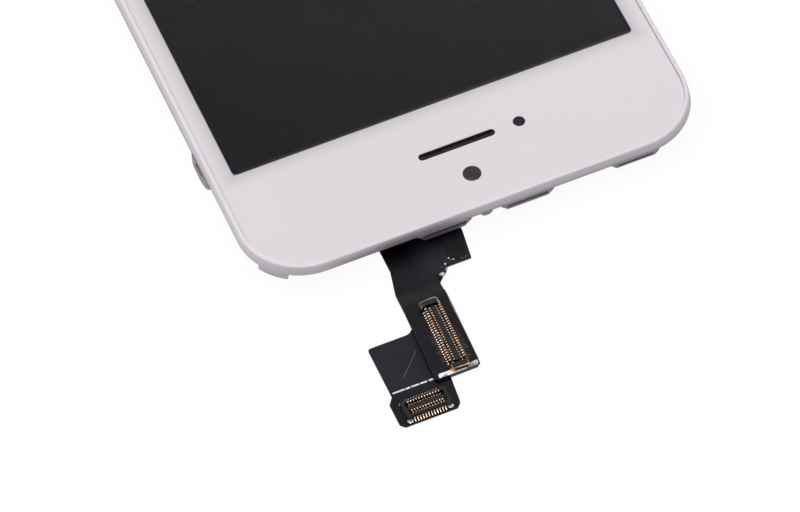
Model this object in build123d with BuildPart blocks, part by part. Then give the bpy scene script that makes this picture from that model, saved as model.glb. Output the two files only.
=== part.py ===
import os
from math import cos, radians, sin

from build123d import *

# A phone display assembly lying on its back: x across, y towards the home-button end, z up.
# The origin is under the middle of the viewing window, on the plane that the clips stand on.

# Panel outline
window_width = 51.74
window_length = 90.25
window_radius = 0.55
side_border = 2.72
end_border = 16.62
corner_radius = 8.00
panel_height = 3.95
panel_width = window_width + 2 * side_border
panel_length = window_length + 2 * end_border
window_end = window_length / 2
panel_end = panel_length / 2

# Layers, from the front down
glass_thickness = 0.55
print_thickness = 0.06
adhesive_thickness = 0.15
front_polarizer_thickness = 0.12
filter_thickness = 0.20
array_thickness = 0.20
rear_polarizer_thickness = 0.12
film_thickness = 0.05
guide_thickness = 0.45
reflector_thickness = 0.08
tray_thickness = 0.15
glass_back = panel_height - glass_thickness
print_back = glass_back - print_thickness
adhesive_back = print_back - adhesive_thickness
front_polarizer_back = adhesive_back - front_polarizer_thickness
filter_back = front_polarizer_back - filter_thickness
array_back = filter_back - array_thickness
rear_polarizer_back = array_back - rear_polarizer_thickness
upper_prism_back = rear_polarizer_back - film_thickness
lower_prism_back = upper_prism_back - film_thickness
diffuser_back = lower_prism_back - film_thickness
guide_back = diffuser_back - guide_thickness
reflector_back = guide_back - reflector_thickness
tray_back = reflector_back - tray_thickness

# Openings in the glass, measured from the end of the window
slot_width = 9.74
slot_height = 0.88
slot_distance = 6.80
camera_radius = 1.12
camera_distance = 11.42
sensor_radius = 0.75
sensor_x = 8.12
sensor_distance = 6.66
home_radius = 5.50
home_y = (window_end + panel_end) / 2
glass_edge_chamfer = 0.10
print_inset = 0.06
print_clearance = 0.05
pad_clearance = 0.02

# Moulded frame, with a wall that leans out a little towards its foot
rim_width = 0.45
glass_gap = 0.03
rim_drop = 0.03
rim_round = 0.22
wall_height = 1.51
side_draft = 0.26
end_draft = 0.08
ring_thickness = 0.07
seat_width = 1.13
end_seat_width = 1.75
wall_bottom = panel_height - wall_height
rim_top = panel_height - rim_drop
seat_level = print_back - ring_thickness
pocket_width = panel_width - 2 * rim_width
pocket_length = panel_length - 2 * rim_width
pocket_radius = corner_radius - rim_width
opening_width = pocket_width - 2 * seat_width
opening_length = pocket_length - 2 * end_seat_width
opening_radius = 6.0
glass_width = pocket_width - 2 * glass_gap
glass_length = pocket_length - 2 * glass_gap
glass_radius = pocket_radius - glass_gap

# Snap hooks and one plain tab under the earpiece end: middle, width and drop of each
hook_places = ((-5.80, 6.95, 0.97), (4.85, 6.80, 0.80), (18.78, 6.10, 0.60))
tab_place = (-0.40, 1.50, 0.42)
hook_step = 0.12
hook_depth = 1.10
hook_lip = 0.08
groove_share = 0.45
groove_margin = 0.80
groove_depth = 0.35
corner_hook_drop = 0.90
corner_hook_middle = 222.75
corner_hook_angle = 27.0

# Display cell and backlight, as margins beyond the window
cell_margin = 0.85
cell_ledge = 4.30
cell_end_margin = 1.50
polarizer_margin = 0.55
polarizer_end_margin = 1.10
adhesive_margin = 0.45
adhesive_end_margin = 0.90
film_margin = 0.13
film_end_margin = 0.60
film_clearance = 0.07
frame_wall_end = 2.00
tray_wall = 0.15
tray_wall_height = 0.95
cell_width = window_width + 2 * cell_margin
cell_near = -window_end - cell_ledge
cell_far = window_end + cell_end_margin

# Driver chip and backlight lamps
chip_width = 18.0
chip_depth = 1.0
chip_height = 0.25
chip_distance = 2.40
led_count = 12
led_side_margin = 0.95
led_pitch = (window_width - 2 * led_side_margin) / led_count
led_width = 3.00
led_depth = 0.60
led_height = 0.42
led_gap = 0.08
led_strip_depth = 1.15

# Side rails with slotted clips, the clips placed from the ends of the window
rail_thickness = 0.20
rail_width = 1.40
rail_showing = 0.02
clip_thickness = 0.30
clip_standoff = 0.11
clip_length = 5.90
clip_middle = 2.98
clip_corner_length = 0.76
clip_corner_height = 0.38
clip_foot = 1.84
clip_belly = 0.42
clip_slot_start = 1.30
clip_slot_length = 2.10
clip_slot_height = 0.65
clip_y = window_end - clip_middle
rail_length = 2 * clip_y + clip_length
wall_foot = panel_width / 2 + side_draft

# Lugs at the home-button end
lug_width = 3.20
lug_depth = 1.60
lug_height = 1.60
lug_spacing = 13.0
lug_hole_radius = 0.60
lug_inset = 0.45
lug_round = 0.40

# Earpiece, camera and sensor mouldings
mesh_thickness = 0.10
mesh_margin = 0.70
gasket_height = 0.60
gasket_wall = 0.75
camera_tube_wall = 0.80
camera_tube_height = 1.50
camera_flange = 0.60
camera_flange_height = 0.40
sensor_spot_radius = 1.00
sensor_spot_thickness = 0.04
sensor_tube_radius = 1.25
sensor_tube_height = 0.90

# Flexes: levels and side views
flex_thickness = 0.15
flex_gap = 0.02
flex_bend = 3.00
display_level = 0.25
stiffener_thickness = 0.35
bond_width = 22.0
bond_middle = 8.0
bond_start = 3.20
fold_clearance = 0.15
body_margin = 6.70
body_width = cell_width - 2 * body_margin
body_depth = 8.50
touch_body_depth = 6.00
drop_start = 6.30
drop_end = 12.30
touch_rise_start = 5.90
touch_rise_end = 7.40
stiffener_start = 8.00
tape_margin = 1.00

# Outline of the display flex: x from the left wall, y outside the end wall
display_neck_left = 15.20
display_neck_right = 19.30
branch_left = 8.21
branch_wide = 7.53
branch_right = 15.60
branch_skew = 0.45
branch_top = 11.12
branch_step = 18.50
branch_shoulder = 0.95
branch_bottom = 23.04
branch_corner = 0.55

# Outline of the touch flex, in the same way
touch_body_left = 9.60
touch_body_right = 22.40
touch_neck_left = 14.90
touch_ear_right = 25.00
touch_ear_start = 13.30
touch_ear_end = 4.15
touch_ear_skew = 0.58
touch_ear_left = 21.45
touch_waist = 5.95
touch_strip_start = 5.40
touch_strip_left = 14.15
touch_strip_right = 19.64
touch_end = 18.82
touch_end_skew = 0.06
touch_end_left = 13.64
touch_end_right = 19.34
stiffener_inset = 0.30

# Connectors
touch_x = 17.12
touch_out = 13.41
touch_tilt = 1.5
touch_count = 22
touch_pitch = 0.372
touch_width = 1.90
touch_end_wall = 1.10
touch_reach = 1.22
display_x = 11.40
display_out = 21.20
display_count = 12
display_pitch = 0.35
display_width = 2.30
display_end_wall = 0.90
display_reach = 1.65
contact_width = 0.18
contact_metal = 0.12
contact_clearance = 0.02
contact_room = 0.20
arm_height = 0.62
housing_height = 0.75
housing_round = 0.12
housing_floor = 0.20
trench_width = 1.60
trench_run = 0.50
island_width = 0.80
island_run = 0.25
island_drop = 0.10
tail_room = 0.14
nail_leg = 0.55
nail_foot = 0.40
nail_metal = 0.08
nail_height = 0.66

# Dot and glue on the touch flex, placed in the same way
dot_x = 23.14
dot_out = 2.45
dot_radius = 1.25
dot_thickness = 0.10
dot_edge = 0.05
bead_line = ((21.09, 3.45), (20.65, 4.72), (19.59, 5.20))
bead_width = 0.60
bead_height = 0.20
bead_edge = 0.09


def beyond(distance):
    """The y of a place beyond the earpiece end of the window."""
    return -window_end - distance


def out(distance):
    """The y of a place outside the end wall."""
    return -panel_end - distance


def across(distance):
    """The x of a place measured from the left wall."""
    return -panel_width / 2 + distance


def sheet(width, near, far, back, thickness):
    """A flat sheet, cut square, between two y places."""
    with BuildPart() as made:
        with BuildSketch(Plane.XY.offset(back)):
            with Locations((0, (near + far) / 2)):
                Rectangle(width, far - near)
        extrude(amount=thickness)
    return made


# Cover glass with its slot and button hole
with BuildPart() as cover_glass:
    with BuildSketch(Plane.XY.offset(glass_back)):
        RectangleRounded(glass_width, glass_length, glass_radius)
        with Locations((0, beyond(slot_distance))):
            SlotOverall(slot_width, slot_height, mode=Mode.SUBTRACT)
        with Locations((0, home_y)):
            Circle(home_radius, mode=Mode.SUBTRACT)
    extrude(amount=glass_thickness)
    front_edges = cover_glass.faces().sort_by(Axis.Z)[-1].edges()
    chamfer(front_edges, glass_edge_chamfer)

# White ink on the back of the glass
print_width = glass_width - 2 * print_inset
print_length = glass_length - 2 * print_inset
print_radius = glass_radius - print_inset
with BuildPart() as border_print:
    with BuildSketch(Plane.XY.offset(print_back)):
        RectangleRounded(print_width, print_length, print_radius)
        RectangleRounded(window_width, window_length, window_radius, mode=Mode.SUBTRACT)
        with Locations((0, beyond(slot_distance))):
            SlotOverall(
                slot_width + 2 * print_clearance,
                slot_height + 2 * print_clearance,
                mode=Mode.SUBTRACT,
            )
        with Locations((0, beyond(camera_distance))):
            Circle(camera_radius, mode=Mode.SUBTRACT)
        with Locations((sensor_x, beyond(sensor_distance))):
            Circle(sensor_radius, mode=Mode.SUBTRACT)
        with Locations((0, home_y)):
            Circle(home_radius + print_clearance, mode=Mode.SUBTRACT)
    extrude(amount=print_thickness)

# Infra-red ink spot behind the sensor opening
with BuildPart() as sensor_window:
    with BuildSketch(Plane.XY.offset(print_back - sensor_spot_thickness)):
        with Locations((sensor_x, beyond(sensor_distance))):
            Circle(sensor_spot_radius)
    extrude(amount=sensor_spot_thickness)

# Clear bonding sheet with the pad that fills the window opening
with BuildPart() as optical_adhesive:
    with BuildSketch(Plane.XY.offset(adhesive_back)):
        RectangleRounded(
            window_width + 2 * adhesive_margin,
            window_length + 2 * adhesive_end_margin,
            window_radius,
        )
    extrude(amount=adhesive_thickness)
    with BuildSketch(Plane.XY.offset(print_back)):
        RectangleRounded(
            window_width - 2 * pad_clearance,
            window_length - 2 * pad_clearance,
            window_radius,
        )
    extrude(amount=print_thickness)

# Display cell: polarizer, colour filter, transistor array with its ledge, rear polarizer
polarizer_width = window_width + 2 * polarizer_margin
front_polarizer = sheet(
    polarizer_width,
    beyond(polarizer_end_margin),
    window_end + polarizer_end_margin,
    front_polarizer_back,
    front_polarizer_thickness,
)
colour_filter_glass = sheet(cell_width, beyond(cell_end_margin), cell_far, filter_back, filter_thickness)
array_glass = sheet(cell_width, cell_near, cell_far, array_back, array_thickness)

film_width = window_width + 2 * film_margin
film_near = beyond(film_end_margin)
film_far = window_end + film_end_margin
rear_polarizer = sheet(film_width, film_near, film_far, rear_polarizer_back, rear_polarizer_thickness)

with BuildPart() as driver_chip:
    with BuildSketch(Plane.XY.offset(filter_back)):
        with Locations((0, beyond(chip_distance))):
            Rectangle(chip_width, chip_depth)
    extrude(amount=chip_height)

# Backlight films, guide and reflector
upper_prism_sheet = sheet(film_width, film_near, film_far, upper_prism_back, film_thickness)
lower_prism_sheet = sheet(film_width, film_near, film_far, lower_prism_back, film_thickness)
diffuser_sheet = sheet(film_width, film_near, film_far, diffuser_back, film_thickness)
light_guide = sheet(film_width, film_near, film_far, guide_back, guide_thickness)
reflector_sheet = sheet(film_width, film_near, film_far, reflector_back, reflector_thickness)

# Lamp strip along the near edge of the guide
lamp_y = film_near - led_gap - led_depth / 2
with BuildPart() as led_strip:
    with BuildSketch(Plane.XY.offset(reflector_back)):
        with Locations((0, film_near - led_gap - led_strip_depth / 2)):
            Rectangle(led_count * led_pitch, led_strip_depth)
    extrude(amount=reflector_thickness)

with BuildPart() as leds:
    with BuildSketch(Plane.XY.offset(guide_back)):
        with Locations((0, lamp_y)):
            with GridLocations(led_pitch, 0, led_count, 1):
                Rectangle(led_width, led_depth)
    extrude(amount=led_height)

# Moulded ring around the films
with BuildPart() as backlight_frame:
    with BuildSketch(Plane.XY.offset(reflector_back)):
        with Locations((0, (cell_near + cell_far) / 2)):
            RectangleRounded(cell_width, cell_far - cell_near, window_radius)
        inner_near = beyond(frame_wall_end)
        inner_far = film_far + film_clearance
        with Locations((0, (inner_near + inner_far) / 2)):
            Rectangle(film_width + 2 * film_clearance, inner_far - inner_near, mode=Mode.SUBTRACT)
    extrude(amount=array_back - reflector_back)

# Steel tray folded up along both long sides
tray_width = cell_width + 2 * tray_wall
with BuildPart() as backlight_tray:
    with BuildSketch(Plane.XY.offset(tray_back)):
        with Locations((0, (cell_near + cell_far) / 2)):
            RectangleRounded(tray_width, cell_far - cell_near, window_radius)
    extrude(amount=tray_thickness + tray_wall_height)
    with BuildSketch(Plane.XY.offset(reflector_back)):
        with Locations((0, (cell_near + cell_far) / 2)):
            Rectangle(cell_width, cell_far - cell_near + 2 * tray_wall)
    extrude(amount=tray_wall_height, mode=Mode.SUBTRACT)

# Moulded rim with the glass seat
with BuildPart() as front_frame:
    with BuildSketch(Plane.XY.offset(wall_bottom)):
        RectangleRounded(2 * wall_foot, panel_length + 2 * end_draft, corner_radius + end_draft)
    with BuildSketch(Plane.XY.offset(rim_top)):
        RectangleRounded(panel_width, panel_length, corner_radius)
    loft(ruled=True)
    fillet(front_frame.faces().sort_by(Axis.Z)[-1].edges(), rim_round)
    with BuildSketch(Plane.XY.offset(seat_level)):
        RectangleRounded(pocket_width, pocket_length, pocket_radius)
    extrude(amount=panel_height - seat_level, mode=Mode.SUBTRACT)
    with BuildSketch(Plane.XY.offset(wall_bottom)):
        RectangleRounded(opening_width, opening_length, opening_radius)
    extrude(amount=panel_height - wall_bottom, mode=Mode.SUBTRACT)
    # Each hook stands out from the foot of the wall as a narrow ledge, with ends cut at forty-five degrees
    hook_face = Plane.XZ.offset(panel_end + end_draft + hook_step)
    for middle, width, drop in (*hook_places, tab_place):
        with BuildSketch(hook_face):
            with BuildLine():
                Polyline(
                    (middle - width / 2, wall_bottom),
                    (middle - width / 2 + drop, wall_bottom - drop),
                    (middle + width / 2 - drop, wall_bottom - drop),
                    (middle + width / 2, wall_bottom),
                    close=True,
                )
            make_face()
        extrude(amount=-hook_depth)
    # A groove under the ledge leaves the nose that catches the case
    for middle, width, drop in hook_places:
        groove = drop * groove_share
        with BuildSketch(hook_face):
            with Locations((middle, wall_bottom - hook_lip - groove / 2)):
                Rectangle(width - 2 * groove_margin, groove)
        extrude(amount=-groove_depth, mode=Mode.SUBTRACT)
    # One more hook follows the corner arc on the left, flush with the wall
    arc_radius = corner_radius + end_draft
    arc_x = -wall_foot + arc_radius
    arc_y = -panel_end + corner_radius
    start = radians(corner_hook_middle - corner_hook_angle / 2)
    radial = Plane(
        origin=(arc_x, arc_y, 0),
        x_dir=(cos(start), sin(start), 0),
        z_dir=(sin(start), -cos(start), 0),
    )
    with BuildSketch(radial):
        with Locations((arc_radius - hook_depth / 2, wall_bottom - corner_hook_drop / 2)):
            Rectangle(hook_depth, corner_hook_drop)
    revolve(axis=Axis((arc_x, arc_y, 0), (0, 0, 1)), revolution_arc=corner_hook_angle)

# Bonding ring between the glass and its seat
with BuildPart() as frame_adhesive:
    with BuildSketch(Plane.XY.offset(seat_level)):
        RectangleRounded(print_width, print_length, print_radius)
        RectangleRounded(opening_width, opening_length, opening_radius, mode=Mode.SUBTRACT)
    extrude(amount=ring_thickness)


def side_rail(side):
    """A steel rail under the frame with two clips folded down from it."""
    rail_middle = wall_foot + rail_showing - rail_width / 2
    inner_end = clip_y - clip_length / 2
    outer_end = clip_y + clip_length / 2
    foot_start = inner_end + clip_corner_length
    slot_middle = inner_end + clip_slot_start + clip_slot_length / 2
    with BuildPart() as rail:
        with BuildSketch(Plane.XY.offset(wall_bottom - rail_thickness)):
            with Locations((side * rail_middle, 0)):
                Rectangle(rail_width, rail_length)
        extrude(amount=rail_thickness)
        for end in (-1, 1):
            with BuildSketch(Plane.YZ.offset(side * (wall_foot + clip_standoff))):
                with BuildLine():
                    edge = Polyline(
                        (end * outer_end, wall_bottom),
                        (end * inner_end, wall_bottom),
                        (end * inner_end, clip_corner_height),
                        (end * foot_start, 0),
                        (end * (foot_start + clip_foot), 0),
                    )
                    SagittaArc(edge @ 1, edge @ 0, -end * clip_belly)
                make_face()
                with Locations((end * slot_middle, wall_bottom - rail_thickness - clip_slot_height / 2)):
                    Rectangle(clip_slot_length, clip_slot_height, mode=Mode.SUBTRACT)
            extrude(amount=-side * clip_thickness)
    return rail


side_rail_left = side_rail(-1)
side_rail_right = side_rail(1)

# Threaded lugs at the home-button end
with BuildPart() as end_lugs:
    lug_face = panel_end - lug_inset
    with BuildSketch(Plane.XZ.offset(-lug_face)):
        with Locations((0, wall_bottom - lug_height / 2)):
            with GridLocations(lug_spacing, 0, 2, 1):
                Rectangle(lug_width, lug_height)
                Circle(lug_hole_radius, mode=Mode.SUBTRACT)
    extrude(amount=lug_depth)
    low_edges = end_lugs.edges().filter_by(Axis.Y).group_by(Axis.Z)[0]
    fillet(low_edges, lug_round)

# Mesh and gasket under the earpiece slot
with BuildPart() as earpiece_mesh:
    with BuildSketch(Plane.XY.offset(print_back - mesh_thickness)):
        with Locations((0, beyond(slot_distance))):
            SlotOverall(slot_width + 2 * mesh_margin, slot_height + 2 * mesh_margin)
    extrude(amount=mesh_thickness)

with BuildPart() as earpiece_gasket:
    with BuildSketch(Plane.XY.offset(print_back - mesh_thickness)):
        with Locations((0, beyond(slot_distance))):
            SlotOverall(slot_width + 2 * mesh_margin, slot_height + 2 * mesh_margin)
            SlotOverall(
                slot_width + 2 * mesh_margin - 2 * gasket_wall,
                slot_height + 2 * mesh_margin - gasket_wall,
                mode=Mode.SUBTRACT,
            )
    extrude(amount=-gasket_height)

# Camera collar: a tube with a flange bonded to the print
camera_place = Plane((0, beyond(camera_distance), print_back))
with BuildPart() as camera_holder:
    with BuildSketch(camera_place):
        Circle(camera_radius + camera_tube_wall + camera_flange)
    extrude(amount=-camera_flange_height)
    with BuildSketch(camera_place):
        Circle(camera_radius + camera_tube_wall)
    extrude(amount=-camera_tube_height)
    with BuildSketch(camera_place):
        Circle(camera_radius)
    extrude(amount=-camera_tube_height, mode=Mode.SUBTRACT)

# Sensor collar under the ink spot
with BuildPart() as sensor_holder:
    with BuildSketch(Plane((sensor_x, beyond(sensor_distance), print_back - sensor_spot_thickness))):
        Circle(sensor_tube_radius)
        Circle(sensor_radius, mode=Mode.SUBTRACT)
    extrude(amount=-sensor_tube_height)

# Levels of the two flexes on the tray and outside the wall
touch_tray_level = tray_back - flex_thickness
display_tray_level = touch_tray_level - flex_gap - flex_thickness
half_flex = flex_thickness / 2
touch_low_level = display_level + flex_thickness + flex_gap
touch_high_level = display_level + flex_thickness + stiffener_thickness
far_out = branch_bottom + 1


def formed_strip(path):
    """The side view of a formed flex, as a strip along its middle line."""
    with BuildSketch(Plane.YZ) as strip:
        with BuildLine():
            FilletPolyline(*path, radius=flex_bend)
        trace(line_width=flex_thickness)
    return strip.sketch


# Display flex: folded round the array ledge, bonded over the tray, then out under the end wall
display_path = (
    (beyond(-body_depth), display_tray_level + half_flex),
    (beyond(drop_start), display_tray_level + half_flex),
    (beyond(drop_end), display_level + half_flex),
    (out(far_out), display_level + half_flex),
)
display_plan = (
    (-body_width / 2, beyond(-body_depth)),
    (body_width / 2, beyond(-body_depth)),
    (body_width / 2, cell_near),
    (across(display_neck_right), cell_near),
    (across(display_neck_right), out(branch_top)),
    (across(branch_right), out(branch_step)),
    (across(branch_right - branch_skew), out(branch_bottom - branch_corner)),
    (across(branch_right - branch_skew - branch_corner), out(branch_bottom)),
    (across(branch_wide + branch_corner), out(branch_bottom)),
    (across(branch_wide), out(branch_bottom - branch_corner)),
    (across(branch_wide), out(branch_step + branch_shoulder)),
    (across(branch_left), out(branch_step)),
    (across(branch_left), out(branch_top)),
    (across(touch_strip_left), out(branch_top)),
    (across(touch_strip_left), out(touch_waist)),
    (across(display_neck_left), out(touch_ear_end / 2)),
    (across(display_neck_left), cell_near),
    (-body_width / 2, cell_near),
)
display_rounds = (1, 1, 1, 0.5, 1, 1, 0.3, 0.3, 0.3, 0.3, 0.3, 0.3, 0.4, 1.1, 1, 1, 0.5, 1)
fold_radius = (filter_back - display_tray_level) / 2
with BuildPart() as display_flex:
    add(extrude(formed_strip(display_path), amount=body_width, both=True, mode=Mode.PRIVATE))
    with BuildSketch():
        with BuildLine():
            FilletPolyline(*display_plan, radius=display_rounds, close=True)
        make_face()
    extrude(amount=panel_height, mode=Mode.INTERSECT)
    with BuildSketch(Plane.YZ.offset(bond_middle - bond_width / 2)):
        with BuildLine():
            fold_y = beyond(cell_ledge + fold_clearance)
            bond_line = Line(
                (beyond(bond_start), filter_back + half_flex),
                (fold_y, filter_back + half_flex),
            )
            fold_arc = ThreePointArc(
                bond_line @ 1,
                (fold_y - fold_radius, display_tray_level + half_flex + fold_radius),
                (fold_y, display_tray_level + half_flex),
            )
            Line(fold_arc @ 1, (beyond(0), display_tray_level + half_flex))
        trace(line_width=flex_thickness)
    extrude(amount=bond_width)

# Touch flex: lies between the tray and the display flex and runs out above it
touch_path = (
    (beyond(-touch_body_depth), touch_tray_level + half_flex),
    (beyond(drop_start), touch_tray_level + half_flex),
    (beyond(drop_end), touch_low_level + half_flex),
    (out(touch_rise_start), touch_low_level + half_flex),
    (out(touch_rise_end), touch_high_level + half_flex),
    (out(far_out), touch_high_level + half_flex),
)
touch_plan = (
    (across(touch_body_left), beyond(-touch_body_depth)),
    (across(touch_body_right), beyond(-touch_body_depth)),
    (across(touch_body_right), beyond(touch_ear_start)),
    (across(touch_ear_right), beyond(touch_ear_start)),
    (across(touch_ear_right), out(0)),
    (across(touch_ear_right - touch_ear_skew), out(touch_ear_end)),
    (across(touch_ear_left), out(touch_ear_end)),
    (across(touch_strip_right), out(touch_waist)),
    (across(touch_end_right), out(touch_end - touch_end_skew)),
    (across(touch_end_left), out(touch_end)),
    (across(touch_strip_left), out(touch_strip_start)),
    (across(touch_neck_left), out(touch_ear_end / 2)),
    (across(touch_neck_left), beyond(drop_start)),
    (across(touch_body_left), cell_near),
)
touch_rounds = (1, 1, 0.8, 0.3, 1, 0.15, 0.3, 0.6, 0.3, 0.4, 3, 1, 1, 1)
with BuildPart() as touch_flex:
    add(extrude(formed_strip(touch_path), amount=body_width, both=True, mode=Mode.PRIVATE))
    with BuildSketch():
        with BuildLine():
            FilletPolyline(*touch_plan, radius=touch_rounds, close=True)
        make_face()
    extrude(amount=panel_height, mode=Mode.INTERSECT)

# Tape that fills the step between the tray and the display flex
tape_left = across(touch_body_right) + tape_margin
tape_right = body_width / 2 - tape_margin
tape_length = beyond(-body_depth) - cell_near - tape_margin
with BuildPart() as flex_tape:
    with BuildSketch(Plane.XY.offset(display_tray_level + flex_thickness)):
        with Locations(((tape_left + tape_right) / 2, (beyond(-body_depth) + cell_near) / 2)):
            RectangleRounded(tape_right - tape_left, tape_length, tape_margin / 2)
    extrude(amount=tray_back - display_tray_level - flex_thickness)

# Stiffeners under the connectors, the touch flex's ending flush with it
touch_row = (touch_count - 1) * touch_pitch
touch_length = touch_row + 2 * touch_end_wall
display_row = (display_count - 1) * display_pitch
display_length = display_row + 2 * display_end_wall
with BuildPart() as touch_stiffener:
    with BuildSketch(Plane.XY.offset(display_level + flex_thickness)):
        with BuildLine():
            Polyline(
                (across(touch_strip_right - stiffener_inset), out(stiffener_start)),
                (across(touch_end_right - stiffener_inset), out(touch_end - touch_end_skew)),
                (across(touch_end_left + stiffener_inset), out(touch_end)),
                (across(touch_strip_left + stiffener_inset), out(stiffener_start)),
                close=True,
            )
        make_face()
    extrude(amount=stiffener_thickness)

with BuildPart() as display_stiffener:
    with BuildSketch():
        with Locations((across(display_x), out(display_out))):
            RectangleRounded(display_length + 2 * stiffener_inset, 2 * display_reach, stiffener_inset)
    extrude(amount=display_level)


def connector_housing(place, row, length, width):
    """A board connector body: outer wall, contact trench and centre island."""
    with BuildPart() as housing:
        with BuildSketch(place):
            RectangleRounded(length, width, housing_round)
        extrude(amount=housing_height)
        # The trench runs round the island, and along the rows it is open down to the flex
        with BuildSketch(place.offset(housing_floor)):
            Rectangle(row + 2 * trench_run, trench_width)
            SlotOverall(row + 2 * island_run, island_width, mode=Mode.SUBTRACT)
        extrude(amount=housing_height, mode=Mode.SUBTRACT)
        with BuildSketch(place):
            Rectangle(row + 2 * contact_room, trench_width)
            Rectangle(row + 2 * contact_room, island_width, mode=Mode.SUBTRACT)
        extrude(amount=housing_height, mode=Mode.SUBTRACT)
        with BuildSketch(place.offset(housing_height - island_drop)):
            Rectangle(row + 2 * trench_run, trench_width)
        extrude(amount=island_drop, mode=Mode.SUBTRACT)
        # Room under both long walls for the contact tails
        with BuildSketch(place):
            Rectangle(row + 2 * contact_room, width)
            Rectangle(row + 2 * contact_room, trench_width, mode=Mode.SUBTRACT)
        extrude(amount=tail_room, mode=Mode.SUBTRACT)
    return housing


def connector_contacts(place, count, pitch, reach):
    """Two rows of formed contacts, each a tail, an arm at the wall and one at the island."""
    wall_arm = trench_width / 2 - contact_clearance
    island_arm = island_width / 2 + contact_clearance
    profile = (
        (reach, 0),
        (reach, contact_metal),
        (wall_arm, contact_metal),
        (wall_arm, arm_height),
        (wall_arm - contact_metal, arm_height),
        (wall_arm - contact_metal, contact_metal),
        (island_arm + contact_metal, contact_metal),
        (island_arm + contact_metal, arm_height),
        (island_arm, arm_height),
        (island_arm, 0),
    )
    side_view = Plane(origin=place.origin, x_dir=place.y_dir, z_dir=place.x_dir)
    with BuildPart() as contacts:
        for number in range(count):
            along = (number - (count - 1) / 2) * pitch
            for side in (-1, 1):
                with BuildSketch(side_view.offset(along - contact_width / 2)):
                    with BuildLine():
                        Polyline(*[(side * y, z) for y, z in profile], close=True)
                    make_face()
                extrude(amount=contact_width)
    return contacts


def connector_nails(place, length, width, reach):
    """Solder nails: a strap bent round each end of a connector, with a foot at each corner."""
    strap_x = length / 2 + nail_metal - nail_leg / 2
    foot_x = length / 2 - nail_foot / 2
    foot_y = (reach + width / 2) / 2
    with BuildPart() as nails:
        with BuildSketch(place):
            with GridLocations(2 * strap_x, 0, 2, 1):
                Rectangle(nail_leg, width + 2 * nail_metal)
            Rectangle(length, width, mode=Mode.SUBTRACT)
        extrude(amount=nail_height)
        with BuildSketch(place):
            with GridLocations(2 * foot_x, 2 * foot_y, 2, 2):
                Rectangle(nail_foot, reach - width / 2)
        extrude(amount=nail_metal)
    return nails


touch_place = Plane(
    origin=(across(touch_x), out(touch_out), touch_high_level + flex_thickness),
    x_dir=(sin(radians(-touch_tilt)), -cos(radians(touch_tilt)), 0),
    z_dir=(0, 0, 1),
)
display_place = Plane(
    origin=(across(display_x), out(display_out), display_level + flex_thickness),
    x_dir=(1, 0, 0),
    z_dir=(0, 0, 1),
)
touch_connector = connector_housing(touch_place, touch_row, touch_length, touch_width)
touch_contacts = connector_contacts(touch_place, touch_count, touch_pitch, touch_reach)
touch_nails = connector_nails(touch_place, touch_length, touch_width, touch_reach)
display_connector = connector_housing(display_place, display_row, display_length, display_width)
display_contacts = connector_contacts(display_place, display_count, display_pitch, display_reach)
display_nails = connector_nails(display_place, display_length, display_width, display_reach)

# Dot and glue bead on the touch flex beside the wall
flex_face = Plane.XY.offset(touch_low_level + flex_thickness)
with BuildPart() as flex_dot:
    with BuildSketch(flex_face):
        with Locations((across(dot_x), out(dot_out))):
            Circle(dot_radius)
    extrude(amount=dot_thickness)
    chamfer(flex_dot.faces().sort_by(Axis.Z)[-1].edges(), dot_edge)

with BuildPart() as glue_bead:
    with BuildSketch(flex_face):
        with BuildLine():
            ThreePointArc(*[(across(x), out(y)) for x, y in bead_line])
        trace(line_width=bead_width)
    extrude(amount=bead_height)
    chamfer(glue_bead.faces().sort_by(Axis.Z)[-1].edges(), bead_edge)

pieces = {
    "cover_glass": cover_glass,
    "border_print": border_print,
    "sensor_window": sensor_window,
    "optical_adhesive": optical_adhesive,
    "front_polarizer": front_polarizer,
    "colour_filter_glass": colour_filter_glass,
    "array_glass": array_glass,
    "driver_chip": driver_chip,
    "rear_polarizer": rear_polarizer,
    "upper_prism_sheet": upper_prism_sheet,
    "lower_prism_sheet": lower_prism_sheet,
    "diffuser_sheet": diffuser_sheet,
    "light_guide": light_guide,
    "reflector_sheet": reflector_sheet,
    "led_strip": led_strip,
    "leds": leds,
    "backlight_frame": backlight_frame,
    "backlight_tray": backlight_tray,
    "front_frame": front_frame,
    "frame_adhesive": frame_adhesive,
    "side_rail_left": side_rail_left,
    "side_rail_right": side_rail_right,
    "end_lugs": end_lugs,
    "earpiece_mesh": earpiece_mesh,
    "earpiece_gasket": earpiece_gasket,
    "camera_holder": camera_holder,
    "sensor_holder": sensor_holder,
    "display_flex": display_flex,
    "touch_flex": touch_flex,
    "flex_tape": flex_tape,
    "display_stiffener": display_stiffener,
    "touch_stiffener": touch_stiffener,
    "display_connector": display_connector,
    "display_contacts": display_contacts,
    "display_nails": display_nails,
    "touch_connector": touch_connector,
    "touch_contacts": touch_contacts,
    "touch_nails": touch_nails,
    "flex_dot": flex_dot,
    "glue_bead": glue_bead,
}
os.makedirs("parts", exist_ok=True)
for name, piece in pieces.items():
    piece.part.label = name
    export_step(piece.part, f"parts/{name}.step")
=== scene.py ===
import random
from math import cos, pi, radians, sin

import bpy
from mathutils import Matrix, Vector


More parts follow.
